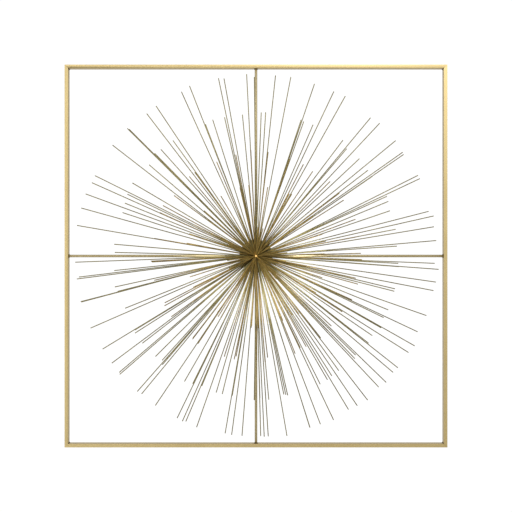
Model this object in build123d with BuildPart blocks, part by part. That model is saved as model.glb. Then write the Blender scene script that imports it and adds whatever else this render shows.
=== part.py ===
from build123d import *
from math import cos, degrees, pi, radians, sin
from random import Random
from typing import NamedTuple
import os

# Framed starburst wall piece.  A square frame of mitred rectangular tube holds a small disc in
# its middle on four round stays.  A turned hub stands on the disc, and straight rods are welded
# to the hub by their ends, in five tiers that get shorter and lean further forward.
#
# Millimetres.  +Z is up, +X is right as seen from the front, and the front faces -Y.  The origin
# is the centre of the square on the wall plane, where the pads behind the frame touch the wall.
# A "depth" is a distance in front of that plane.  A "turn" goes anticlockwise as seen from the
# front, and the top side of the frame has turn 0.

# Frame of rectangular tube, with mitred corners.
frame_side = 914.0
tube_face = 8.5
tube_depth = 20.0
tube_wall = 1.0
corner_weld_leg = 1.8
corner_weld_inset = 1.0

# Keyholes in the back wall of the side tubes, for a screw with a 3 mm shank.
keyhole_below_top = 60.0
keyhole_side_clearance = 0.05
keyhole_slot_width = 3.4
keyhole_slot_rise = 8.0

# Round pads behind the corners, which keep the metal off the wall.
pad_thickness = 2.0
pad_margin = 0.5
pad_inset = 24.0

# Four round stays from the middle of each side to the disc.
stay_diameter = 6.3
stay_root_radius = 9.0
stay_weld_leg = 2.4
root_weld_length = 16.0
root_weld_width = 2.2
root_weld_inset = 3.0
weld_clearance = 0.03

# Disc behind the hub.
disc_diameter = 80.0
disc_thickness = 3.0
disc_edge_round = 0.6

# Hub, turned in one piece with a spigot that locates it in the disc.
spigot_diameter = 10.0
spigot_clearance = 0.1
foot_height = 3.0
hub_weld_leg = 2.2

# Rods, cut from straight wire.
rod_diameter = 2.3
rod_gap = 0.25
seat_slack = 0.3
rod_end_gap = 0.15
rod_splay = 4.2
tip_scatter = 4.5
tip_to_frame = 22.0

# The rods stand closer together on one side of the burst, below and a little to the right.
crowding = 0.2
crowded_side = 290.0
scatter_seed = 17


class Tier(NamedTuple):
    """One tier of rods: how many stand in each row, and how they lean and reach."""

    name: str
    rods: tuple
    reach: float
    tilt: float
    tilt_step: float


tiers = (
    Tier("outer", (25, 25, 25), frame_side / 2 - tube_face - tip_to_frame, 2.5, 0.6),
    Tier("long", (23, 22, 21), 332.0, 7.0, 0.8),
    Tier("middle", (16, 15, 14), 241.0, 12.0, 1.0),
    Tier("short", (11, 10, 9), 162.0, 18.0, 2.0),
    Tier("front", (8, 6, 4), 70.0, 26.0, 6.0),
)
sectors = ("upper_right", "upper_left", "lower_left", "lower_right")
sides = (("top", 0), ("left", 90), ("bottom", 180), ("right", 270))
stay_names = ("upper_stay", "left_stay", "lower_stay", "right_stay")

# Places that follow from the sizes above.
half_side = frame_side / 2
half_opening = half_side - tube_face
tube_back = pad_thickness
stay_depth = tube_back + tube_depth / 2
stay_radius = stay_diameter / 2
disc_back = stay_depth + stay_radius
disc_front = disc_back + disc_thickness
seat_start = disc_front + foot_height
row_pitch = rod_diameter + rod_gap


class Row(NamedTuple):
    """One row of rods round the hub, and the middle of the conical seat that they stand on."""

    count: int
    tilt: float
    radius: float
    depth: float


def facing(depth, turn=0):
    """Plane that faces the front at a depth, with its local Y pointing to one side of the frame."""
    return Plane(
        origin=(0, -depth, 0),
        x_dir=(cos(radians(turn)), 0, sin(radians(turn))),
        z_dir=(0, -1, 0),
    )


def outward(turn):
    """Direction from the centre to the side of the frame with this turn."""
    return Vector(-sin(radians(turn)), 0, cos(radians(turn)))


def keep(piece, label):
    """Label a finished piece and write its STEP file."""
    piece.part.label = label
    export_step(piece.part, f"parts/{label}.step")


def mitred(inset):
    """Outline of a top side with mitred ends, all its edges moved in by an inset."""
    outer = half_side - inset
    inner = half_opening + inset
    Polygon((-outer, outer), (outer, outer), (inner, inner), (-inner, inner), align=None)


def frame_tube(name, turn):
    """One side of the frame, and on an upright side the keyhole near its top."""
    with BuildPart() as tube:
        with BuildSketch(facing(tube_back, turn)):
            mitred(0)
        extrude(amount=tube_depth)
        with BuildSketch(facing(tube_back + tube_wall, turn)):
            mitred(tube_wall)
        extrude(amount=tube_depth - 2 * tube_wall, mode=Mode.SUBTRACT)
        if name in ("left", "right"):
            up = 1 if name == "left" else -1
            entry = up * (half_side - keyhole_below_top)
            entry_diameter = tube_face - 2 * (tube_wall + keyhole_side_clearance)
            middle = half_side - tube_face / 2
            with BuildSketch(facing(tube_back, turn)):
                with Locations((entry, middle)):
                    Circle(entry_diameter / 2)
                with Locations((entry + up * keyhole_slot_rise / 2, middle)):
                    Rectangle(keyhole_slot_rise, keyhole_slot_width)
                with Locations((entry + up * keyhole_slot_rise, middle)):
                    Circle(keyhole_slot_width / 2)
            extrude(amount=2 * tube_wall, mode=Mode.SUBTRACT)
    keep(tube, f"{name}_tube")


def corner_welds():
    """A bead down each inner corner of the frame, where two mitred tubes meet."""
    with BuildPart() as welds:
        for _, turn in sides:
            with BuildSketch(facing(tube_back + corner_weld_inset, turn)):
                corner = half_opening
                leg = corner_weld_leg
                Polygon((corner, corner), (corner - leg, corner), (corner, corner - leg), align=None)
            extrude(amount=tube_depth - 2 * corner_weld_inset)
    keep(welds, "corner_welds")


def wall_pads():
    """A round pad behind each end of the top and bottom tubes."""
    with BuildPart() as pads:
        across = half_side - pad_inset
        height = half_side - tube_face / 2
        with BuildSketch(facing(0)):
            with GridLocations(2 * across, 2 * height, 2, 2):
                Circle(tube_face / 2 - pad_margin)
        extrude(amount=pad_thickness)
    keep(pads, "wall_pads")


def stay(name, turn):
    """A round bar from near the centre to the inner face of one side."""
    with BuildPart() as bar:
        start = outward(turn) * stay_root_radius + Vector(0, -stay_depth, 0)
        with BuildSketch(Plane(origin=start, z_dir=outward(turn))):
            Circle(stay_radius)
        extrude(amount=half_opening - stay_root_radius)
    keep(bar, name)


def stay_end_welds():
    """A fillet weld round each stay where it meets the frame."""
    with BuildPart() as welds:
        inner = stay_radius + weld_clearance
        for _, turn in sides:
            with BuildSketch(facing(stay_depth, turn)):
                Polygon(
                    (inner, half_opening),
                    (inner + stay_weld_leg, half_opening),
                    (inner, half_opening - stay_weld_leg),
                    align=None,
                )
            revolve(axis=Axis((0, -stay_depth, 0), outward(turn)))
    keep(welds, "stay_end_welds")


def stay_root_welds():
    """A bead along both sides of each stay, in the corner between the bar and the disc."""
    with BuildPart() as welds:
        foot = stay_radius + root_weld_width
        for _, turn in sides:
            start = outward(turn) * (disc_diameter / 2 - root_weld_inset - root_weld_length)
            start += Vector(0, -stay_depth, 0)
            with BuildSketch(Plane(origin=start, x_dir=(0, -1, 0), z_dir=outward(turn))):
                Polygon((stay_radius, -foot), (stay_radius, foot), (0, 0), align=None)
                Circle(stay_radius + weld_clearance, mode=Mode.SUBTRACT)
            extrude(amount=root_weld_length)
    keep(welds, "stay_root_welds")


def centre_disc():
    """The disc that the stays carry and the hub stands on."""
    with BuildPart() as disc:
        with BuildSketch(facing(disc_back)):
            Circle(disc_diameter / 2)
            Circle(spigot_diameter / 2 + spigot_clearance, mode=Mode.SUBTRACT)
        extrude(amount=disc_thickness)
        rims = disc.edges().filter_by(GeomType.CIRCLE).group_by(SortBy.RADIUS)[-1]
        fillet(rims, radius=disc_edge_round)
    keep(disc, "centre_disc")


def seats():
    """Outline of the hub's seats as (radius, depth) points, and the rows of each tier.

    Each row has a conical seat square to its rods.  A tier's first radius leaves every row room
    for its rods, and is never less than the tier in front of it needs.
    """
    edges = []
    edge = 0.0
    for tier in reversed(tiers):
        drop = 0.0
        needed = [edge]
        for number, count in enumerate(tier.rods):
            fall = row_pitch * sin(radians(tier.tilt + tier.tilt_step * number))
            room = count * (row_pitch + seat_slack) / (2 * pi * (1 - crowding))
            needed.append(room + drop + fall / 2)
            drop += fall
        needed[0] += drop
        edge = max(needed)
        edges.insert(0, edge)
    outline = []
    rows = []
    depth = seat_start
    for tier, radius in zip(tiers, edges):
        outline.append((radius, depth))
        tier_rows = []
        for number, count in enumerate(tier.rods):
            tilt = tier.tilt + tier.tilt_step * number
            fall = row_pitch * sin(radians(tilt))
            rise = row_pitch * cos(radians(tilt))
            tier_rows.append(Row(count, tilt, radius - fall / 2, depth + rise / 2))
            radius -= fall
            depth += rise
            outline.append((radius, depth))
        rows.append(tier_rows)
    return outline, rows


def rod_hub(outline):
    """The turned hub: spigot, foot, a conical seat for each row, and a flat nose."""
    with BuildPart() as hub:
        foot_radius = outline[0][0]
        nose_depth = outline[-1][1]
        with BuildSketch(Plane(origin=(0, 0, 0), x_dir=(1, 0, 0), z_dir=(0, 0, -1))):
            with BuildLine():
                Polyline(
                    (0, disc_back),
                    (spigot_diameter / 2, disc_back),
                    (spigot_diameter / 2, disc_front),
                    (foot_radius, disc_front),
                    *outline,
                    (0, nose_depth),
                    close=True,
                )
            make_face()
        revolve(axis=Axis.Y)
    keep(hub, "rod_hub")


def hub_weld(foot_radius):
    """The fillet weld round the hub's foot."""
    with BuildPart() as weld:
        inner = foot_radius + weld_clearance
        with BuildSketch(Plane(origin=(0, 0, 0), x_dir=(1, 0, 0), z_dir=(0, 0, -1))):
            Polygon(
                (inner, disc_front),
                (inner + hub_weld_leg, disc_front),
                (inner, disc_front + hub_weld_leg),
                align=None,
            )
        revolve(axis=Axis.Y)
    keep(weld, "hub_weld")


def tier_rods(tier, rows, chance):
    """Where each rod of a tier starts, which way it points and how long it is, by sector."""
    by_sector = [[] for _ in sectors]
    for number, row in enumerate(rows):
        spare = degrees(seat_slack / row.radius)
        for place in range(row.count):
            even = 360 * (place + number / len(rows)) / row.count
            seat = even - degrees(crowding) * sin(radians(even - crowded_side))
            seat += chance.uniform(-spare / 2, spare / 2)
            heading = seat + chance.uniform(-rod_splay, rod_splay)
            lean = radians(row.tilt)
            direction = Vector(
                cos(lean) * cos(radians(heading)),
                -sin(lean),
                cos(lean) * sin(radians(heading)),
            )
            start = Vector(
                row.radius * cos(radians(seat)),
                -row.depth,
                row.radius * sin(radians(seat)),
            )
            start += direction * rod_end_gap
            reach = tier.reach + chance.uniform(-tip_scatter, tip_scatter)
            length = (reach - row.radius) / cos(lean)
            by_sector[int(heading % 360 // 90)].append((start, direction, length))
    return by_sector


def rod_group(tier, sector, rods):
    """The rods of one tier that point into one of the four sectors between the stays."""
    with BuildPart() as group:
        for start, direction, length in rods:
            with BuildSketch(Plane(origin=start, z_dir=direction)):
                Circle(rod_diameter / 2)
            extrude(amount=length)
    keep(group, f"{tier.name}_rods_{sector}")


os.makedirs("parts", exist_ok=True)
for (side, turn), stay_name in zip(sides, stay_names):
    frame_tube(side, turn)
    stay(stay_name, turn)
corner_welds()
wall_pads()
stay_end_welds()
stay_root_welds()
centre_disc()
hub_outline, hub_rows = seats()
rod_hub(hub_outline)
hub_weld(hub_outline[0][0])
chance = Random(scatter_seed)
for tier, rows in zip(tiers, hub_rows):
    for sector, rods in zip(sectors, tier_rods(tier, rows, chance)):
        rod_group(tier, sector, rods)
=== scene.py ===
from math import atan2, pi, radians, sin

import bmesh
import bpy
import numpy as np
from mathutils import Matrix, Vector


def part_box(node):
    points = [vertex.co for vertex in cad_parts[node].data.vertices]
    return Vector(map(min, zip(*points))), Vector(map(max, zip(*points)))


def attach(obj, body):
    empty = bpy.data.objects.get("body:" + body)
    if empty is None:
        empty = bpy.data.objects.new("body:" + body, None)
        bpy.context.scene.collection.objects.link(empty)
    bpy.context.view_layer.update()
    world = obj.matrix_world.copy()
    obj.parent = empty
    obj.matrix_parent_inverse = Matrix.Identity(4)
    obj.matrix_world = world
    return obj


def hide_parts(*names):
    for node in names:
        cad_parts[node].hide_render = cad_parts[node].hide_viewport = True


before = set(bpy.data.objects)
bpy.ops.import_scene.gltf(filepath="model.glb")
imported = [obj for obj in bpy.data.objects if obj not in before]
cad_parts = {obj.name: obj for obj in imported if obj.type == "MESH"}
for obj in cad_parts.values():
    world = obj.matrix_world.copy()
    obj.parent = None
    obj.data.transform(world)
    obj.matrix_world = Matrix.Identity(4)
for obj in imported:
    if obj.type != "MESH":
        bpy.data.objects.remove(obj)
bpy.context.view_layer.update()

# Camera.  The piece is seen square on from the front, from a little over two metres, with the
# middle of the square in the middle of the picture.  The Standard view keeps thin rods crisp.
camera_distance = 2.33
picture_width = 1.222
front_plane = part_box("top_tube")[0][1]
camera_data = bpy.data.cameras.new("camera")
camera_data.sensor_width = 36.0
camera_data.lens = camera_data.sensor_width * camera_distance / picture_width
camera = bpy.data.objects.new("camera", camera_data)
camera.location = (0, front_plane - camera_distance, 0)
camera.rotation_euler = (pi / 2, 0, 0)
bpy.context.collection.objects.link(camera)
bpy.context.scene.camera = camera
bpy.context.scene.view_settings.view_transform = "Standard"


# Frame tubes.  Four lengths of drawn rectangular steel tube, mitred and welded into a square,
# ground flush and sprayed with a satin gold lacquer.  Drawn tube has a small round on each edge,
# and a faint line shows where the mitres were ground.
class Socket:
    """One output in a node tree.  Sums, products and differences of sockets add Math nodes."""

    def __init__(self, tree, output):
        self.tree = tree
        self.output = output

    def make(self, kind, settings=(), inputs=(), out=0):
        """Add a node, set its settings, then give its input sockets values or links."""
        node = self.tree.nodes.new(kind)
        for name, value in dict(settings).items():
            setattr(node, name, value)
        for key, value in dict(inputs).items():
            if isinstance(value, Socket):
                self.tree.links.new(value.output, node.inputs[key])
            else:
                node.inputs[key].default_value = value
        return Socket(self.tree, node.outputs[out])

    def maths(self, operation, a, b=0.0):
        return self.make("ShaderNodeMath", {"operation": operation}, {0: a, 1: b})

    def __add__(self, other):
        return self.maths("ADD", self, other)

    def __sub__(self, other):
        return self.maths("SUBTRACT", self, other)

    def __rsub__(self, other):
        return self.maths("SUBTRACT", other, self)

    def __mul__(self, other):
        return self.maths("MULTIPLY", self, other)

    __radd__ = __add__
    __rmul__ = __mul__

    def magnitude(self):
        """This number without its sign."""
        return self.maths("ABSOLUTE", self)

    def part(self, axis):
        """One coordinate of this position."""
        return self.make("ShaderNodeSeparateXYZ", {}, {0: self}, out=axis)

    def ramp(self, low, high):
        """0 below low, 1 above high, straight between."""
        inputs = {"Value": self, "From Min": low, "From Max": high}
        return self.make("ShaderNodeMapRange", {"clamp": True}, inputs)

    def noise(self, scale, detail=2.0):
        """Fractal noise on this position."""
        inputs = {"Vector": self, "Scale": scale, "Detail": detail}
        return self.make("ShaderNodeTexNoise", {}, inputs)

    def blend(self, first, second):
        """A colour between two colours, by this factor."""
        inputs = {0: self, 6: first, 7: second}
        return self.make("ShaderNodeMix", {"data_type": "RGBA"}, inputs, out=2)

    def bump(self, strength, distance):
        """The surface normal tilted by this height."""
        inputs = {"Strength": strength, "Distance": distance, "Height": self}
        return self.make("ShaderNodeBump", {}, inputs)


def rgb(red, green, blue, shade=1.0):
    """Linear colour of a display colour given from 0 to 255, darkened by a shade."""
    def line(value):
        value = value / 255
        return value / 12.92 if value <= 0.04045 else ((value + 0.055) / 1.055) ** 2.4
    return (shade * line(red), shade * line(green), shade * line(blue), 1.0)


def new_finish(name):
    """An empty material and the object-space position that its patterns follow."""
    material = bpy.data.materials.new(name)
    material.use_nodes = True
    tree = material.node_tree
    place = tree.nodes.new("ShaderNodeTexCoord")
    return material, Socket(tree, place.outputs["Object"])


def wire_up(material, colour, roughness, normal):
    """Feed a material's shader with a colour, a roughness and a normal."""
    shader = material.node_tree.nodes["Principled BSDF"]
    for key, socket in (("Base Color", colour), ("Roughness", roughness), ("Normal", normal)):
        material.node_tree.links.new(socket.output, shader.inputs[key])


def mitre_line(place):
    """1 on the diagonals where the frame's tubes meet, falling to 0 beside them."""
    line_width = 0.0002
    line_fade = 0.0011
    off_line = (place.part("X").magnitude() - place.part("Z").magnitude()).magnitude()
    return 1 - off_line.ramp(line_width, line_fade)


def lacquered(name, light, dark, rough, metal, grain, cloud=14.0, mitred=False):
    """Gold lacquer on steel: cloudy colour, fine speckle, uneven gloss and orange peel."""
    material, place = new_finish(name)
    clouds = place.noise(cloud, 3.0).ramp(0.32, 0.68)
    speckle = place.noise(grain).ramp(0.25, 0.75)
    colour = (clouds * 0.55 + speckle * 0.45).blend(rgb(*dark), rgb(*light))
    roughness = speckle * 0.05 + clouds * 0.05 + (rough - 0.05)
    height = speckle * 0.4 + place.noise(grain * 3, 1.0) * 0.6
    if mitred:
        near = mitre_line(place)
        colour = (near * 0.35).blend(colour, rgb(*dark, shade=0.55))
        height = height - near * 0.8
    wire_up(material, colour, roughness, height.bump(0.06, 0.00001))
    shader = material.node_tree.nodes["Principled BSDF"]
    shader.inputs["Metallic"].default_value = metal
    shader.inputs["Coat Weight"].default_value = 0.25
    shader.inputs["Coat Roughness"].default_value = 0.25
    return material


def only(piece):
    """Select one object and nothing else."""
    bpy.ops.object.select_all(action="DESELECT")
    piece.select_set(True)
    bpy.context.view_layer.objects.active = piece


def finish_with(piece, kind, **settings):
    """Add a modifier to the active piece, set it and apply it."""
    bpy.ops.object.modifier_add(type=kind)
    modifier = piece.modifiers[-1]
    for name, value in settings.items():
        setattr(modifier, name, value)
    bpy.ops.object.modifier_apply(modifier=modifier.name)


def give(piece, material):
    """Put one material on a piece."""
    piece.data.materials.clear()
    piece.data.materials.append(material)


touching = 0.00001
round_angle = radians(40)


def on_skin(point, low, high, across):
    """Whether a point is on one of a tube's four long outer edges."""
    return all(
        min(abs(point[axis] - low[axis]), abs(point[axis] - high[axis])) < touching
        for axis in (1, across)
    )


tube_gold = lacquered(
    "frame_gold", (200, 180, 128), (191, 169, 114), rough=0.42, metal=0.7, grain=900, mitred=True
)
edge_round = 0.0008
longest_detail = 0.5
flat_enough = radians(1)
for side in ("top", "left", "bottom", "right"):
    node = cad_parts[f"{side}_tube"]
    tube = bpy.data.objects.new(f"{side}_tube_rounded", node.data.copy())
    bpy.context.collection.objects.link(tube)
    only(tube)
    bpy.ops.object.mode_set(mode="EDIT")
    bpy.ops.mesh.select_all(action="SELECT")
    bpy.ops.mesh.remove_doubles(threshold=touching)
    bpy.ops.mesh.dissolve_limited(angle_limit=flat_enough)
    bpy.ops.mesh.select_all(action="DESELECT")
    low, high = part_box(f"{side}_tube")
    along, across = (0, 2) if side in ("top", "bottom") else (2, 0)
    shell = bmesh.from_edit_mesh(tube.data)
    for edge in shell.edges:
        a, b = (vertex.co for vertex in edge.verts)
        outer = on_skin(a, low, high, across) and on_skin(b, low, high, across)
        edge.select = outer and abs(a[along] - b[along]) > longest_detail
    shell.select_flush_mode()
    bmesh.update_edit_mesh(tube.data)
    bpy.ops.mesh.bevel(offset=edge_round, segments=3, affect="EDGES")
    bpy.ops.object.mode_set(mode="OBJECT")
    bpy.ops.object.shade_smooth_by_angle(angle=round_angle)
    give(tube, tube_gold)
    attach(tube, "root")
    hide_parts(f"{side}_tube")


# Stays.  Four lengths of round bar, cut square, butted to the frame and laid against the back
# of the disc.  They carry the same lacquer made a little darker, as painted shade.
# Tube lacquer made a little darker: painted shade on the stays.
stay_painted_shade_gold = lacquered(
    "stay_painted_shade_gold", (190, 176, 136), (166, 150, 108), rough=0.42, metal=0.75, grain=900
)
bar_sides = 40
end_break = 0.0003
square_edge = radians(60)
for side in ("upper", "left", "lower", "right"):
    low, high = (Vector(corner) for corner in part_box(f"{side}_stay"))
    size = high - low
    upright = side in ("upper", "lower")
    bpy.ops.object.select_all(action="DESELECT")
    bpy.ops.mesh.primitive_cylinder_add(
        vertices=bar_sides,
        radius=size.y / 2,
        depth=size.z if upright else size.x,
        location=(high + low) / 2,
        rotation=(0, 0, 0) if upright else (0, pi / 2, 0),
    )
    bar = bpy.context.object
    bar.name = f"{side}_stay_bar"
    bpy.ops.object.transform_apply(location=True, rotation=True, scale=True)
    finish_with(bar, "BEVEL", width=end_break, segments=2, angle_limit=square_edge)
    bpy.ops.object.shade_smooth_by_angle(angle=round_angle)
    give(bar, stay_painted_shade_gold)
    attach(bar, "root")
    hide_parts(f"{side}_stay")


# Rods.  Straight drawn wire cut to five lengths, butted to the hub by one end.  The free end is
# a shear cut whose edge the lacquer rounds over.  The two longest rings are greyer, and the rings
# near the middle are a darker, warmer brown gold, painted shade of the crowded middle.
outer_gold = lacquered(
    "outer_rod_gold", (150, 140, 92), (102, 93, 54), rough=0.36, metal=0.75, grain=300, cloud=22
)
# Darker brown copy of the rod lacquer: painted shade for the rods crowded at the middle.
inner_painted_shade_gold = lacquered(
    "inner_rod_painted_shade_gold", (160, 136, 72), (90, 72, 32), rough=0.32, metal=0.8, grain=300, cloud=60
)
wire_sides = 10
wire_radius = 0.00115
wire_tip_round = 0.3 * wire_radius
wire_round_angle = radians(50)
tier_golds = {
    "outer": outer_gold,
    "long": outer_gold,
    "middle": inner_painted_shade_gold,
    "short": inner_painted_shade_gold,
    "front": inner_painted_shade_gold,
}


def wire_ends(node):
    """The two end points of each straight wire in a CAD node, the end near the hub first."""
    shell = bmesh.new()
    shell.from_mesh(node.data)
    bmesh.ops.remove_doubles(shell, verts=shell.verts, dist=touching)
    reached = set()
    wires = []
    for first in shell.verts:
        if first in reached:
            continue
        reached.add(first)
        island = [first]
        for vertex in island:
            for edge in vertex.link_edges:
                other = edge.other_vert(vertex)
                if other not in reached:
                    reached.add(other)
                    island.append(other)
        points = np.array([vertex.co[:] for vertex in island])
        centred = points - points.mean(axis=0)
        way = np.linalg.svd(centred, full_matrices=False)[2][0]
        along = centred @ way
        ends = [points[along < 0].mean(axis=0), points[along > 0].mean(axis=0)]
        ends.sort(key=lambda point: np.hypot(point[0], point[2]))
        wires.append((Vector(ends[0]), Vector(ends[1])))
    shell.free()
    return wires


def wire_between(pattern, start, end):
    """A copy of the pattern wire, stretched from one point to another."""
    run = end - start
    turn = run.to_track_quat("Z", "Y").to_matrix().to_4x4()
    size = Matrix.Diagonal((wire_radius, wire_radius, run.length, 1))
    wire = bpy.data.objects.new("wire", pattern.data.copy())
    wire.data.transform(Matrix.Translation(start) @ turn @ size)
    bpy.context.collection.objects.link(wire)
    return wire


bpy.ops.object.select_all(action="DESELECT")
bpy.ops.mesh.primitive_cylinder_add(vertices=wire_sides, radius=1, depth=1, location=(0, 0, 0.5))
pattern_wire = bpy.context.object
bpy.ops.object.transform_apply(location=True, rotation=True, scale=True)
for tier, gold in tier_golds.items():
    for sector in ("upper_right", "upper_left", "lower_left", "lower_right"):
        name = f"{tier}_rods_{sector}"
        ends = wire_ends(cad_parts[name])
        copies = [wire_between(pattern_wire, start, end) for start, end in ends]
        only(copies[0])
        for wire in copies:
            wire.select_set(True)
        bpy.ops.object.join()
        wires = bpy.context.object
        wires.name = f"{tier}_wires_{sector}"
        finish_with(wires, "BEVEL", width=wire_tip_round, segments=2, angle_limit=square_edge)
        bpy.ops.object.shade_smooth_by_angle(angle=wire_round_angle)
        give(wires, gold)
        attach(wires, "root")
        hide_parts(name)
bpy.data.objects.remove(pattern_wire)


# Disc and hub.  The disc is cut from plate and the hub is turned from bar.  Both are lacquered
# with the rods in the same dark brown gold, painted shade for the crowded middle between the
# rods.
# Dark brown gold: painted shade where the rods crowd the middle.
hub_painted_shade_gold = lacquered(
    "hub_painted_shade_gold", (160, 128, 66), (112, 86, 40), rough=0.4, metal=0.7, grain=350, cloud=40
)
for name in ("centre_disc", "rod_hub"):
    give(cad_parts[name], hub_painted_shade_gold)


# Welds.  Short fillet beads left as they were laid, lacquered over.  They are coloured much
# darker than the bar and the tube.
weld_gold = lacquered(
    "weld_gold", (112, 92, 46), (62, 50, 24), rough=0.5, metal=0.7, grain=700, cloud=160
)
bead_grain = 0.0003
ripple_pitch = 0.0011
ripple_height = 0.00016
ripple_middle = 0.6
worn_passes = 4
stay_low, stay_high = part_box("left_stay")
stay_line = (stay_low[1] + stay_high[1]) / 2
stay_radius = (stay_high[1] - stay_low[1]) / 2
hub_weld_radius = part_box("hub_weld")[1][0]


def along_the_mitre(point):
    return point.y


def along_the_stay(point):
    return max(abs(point.x), abs(point.z))


def round_the_stay(point):
    """Distance round a stay's end, from the back."""
    off_line = point.x if abs(point.z) > abs(point.x) else point.z
    return atan2(off_line, point.y - stay_line) * stay_radius


def round_the_hub(point):
    return atan2(point.x, point.z) * hub_weld_radius


def bead(name, run):
    """A weld node's shape, worn round, with the ripples of a bead laid along its run."""
    laid = bpy.data.objects.new(f"{name}_rippled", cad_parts[name].data.copy())
    bpy.context.collection.objects.link(laid)
    only(laid)
    finish_with(laid, "REMESH", mode="VOXEL", voxel_size=bead_grain)
    finish_with(laid, "SMOOTH", iterations=worn_passes)
    normals = [vertex.normal.copy() for vertex in laid.data.vertices]
    for vertex, normal in zip(laid.data.vertices, normals):
        wave = abs(sin(pi * run(vertex.co) / ripple_pitch))
        vertex.co += normal * ripple_height * (wave - ripple_middle)
    bpy.ops.object.shade_smooth()
    give(laid, weld_gold)
    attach(laid, "root")
    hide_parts(name)


bead("corner_welds", along_the_mitre)
bead("stay_end_welds", round_the_stay)
bead("stay_root_welds", along_the_stay)
bead("hub_weld", round_the_hub)


# Pads.  Four small round bumpers of soft dark rubber, stuck behind the ends of the top and
# bottom tubes.
pad_rubber, pad_place = new_finish("pad_rubber")
pad_dust = pad_place.noise(900, 3.0).ramp(0.3, 0.7)
pad_colour = pad_dust.blend(rgb(40, 40, 38), rgb(58, 57, 54))
wire_up(pad_rubber, pad_colour, pad_dust * 0.15 + 0.62, pad_dust.bump(0.2, 0.0001))
give(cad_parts["wall_pads"], pad_rubber)


# Studio.  A pale floor well below the piece, a white surround, two soft lights in front and a
# small soft spot that reaches in between the rods at the middle.
floor_height = -0.8
floor_middle = -0.9
floor_width = 4.2
floor_depth = 3.1
bpy.ops.object.select_all(action="DESELECT")
bpy.ops.mesh.primitive_plane_add(size=1, location=(0, floor_middle, floor_height))
floor = bpy.context.object
floor.name = "studio_floor"
floor.scale = (floor_width, floor_depth, 1)
bpy.ops.object.transform_apply(location=False, rotation=False, scale=True)
floor_paint, floor_place = new_finish("floor_paint")
floor_tone = floor_place.noise(3.0).blend(rgb(236, 235, 232), rgb(228, 227, 224))
floor_shader = floor_paint.node_tree.nodes["Principled BSDF"]
floor_paint.node_tree.links.new(floor_tone.output, floor_shader.inputs["Base Color"])
floor_shader.inputs["Roughness"].default_value = 0.6
give(floor, floor_paint)

world = bpy.data.worlds.new("studio")
bpy.context.scene.world = world
world.use_nodes = True
sky = world.node_tree
direction = Socket(sky, sky.nodes.new("ShaderNodeTexCoord").outputs["Generated"])
seen = Socket(sky, sky.nodes.new("ShaderNodeLightPath").outputs["Is Camera Ray"])
near_floor = (0.76, 0.75, 0.72, 1)
near_ceiling = (0.58, 0.58, 0.58, 1)
room = direction.part("Z").ramp(-0.9, 0.9).blend(near_floor, near_ceiling)
white = (1, 1, 1, 1)
shown = seen.blend(room, white)
strength = seen * 0.05 + 1.0
background = sky.nodes["Background"]
sky.links.new(shown.output, background.inputs["Color"])
sky.links.new(strength.output, background.inputs["Strength"])


def lamp(name, kind, place, power, **settings):
    """A light aimed at the middle of the piece."""
    data = bpy.data.lights.new(name, kind)
    data.energy = power
    for key, value in settings.items():
        setattr(data, key, value)
    light = bpy.data.objects.new(name, data)
    light.location = place
    light.rotation_euler = (-light.location).to_track_quat("-Z", "Y").to_euler()
    bpy.context.collection.objects.link(light)


lamp("key_light", "AREA", (0.45, -2.5, 1.2), 24, size=0.8)
lamp("fill_light", "AREA", (-1.7, -2.6, 0.2), 21, size=2.0)
lamp(
    "centre_light",
    "SPOT",
    (-0.35, -2.6, 0.5),
    600,
    spot_size=radians(8),
    spot_blend=1.0,
    shadow_soft_size=0.05,
)
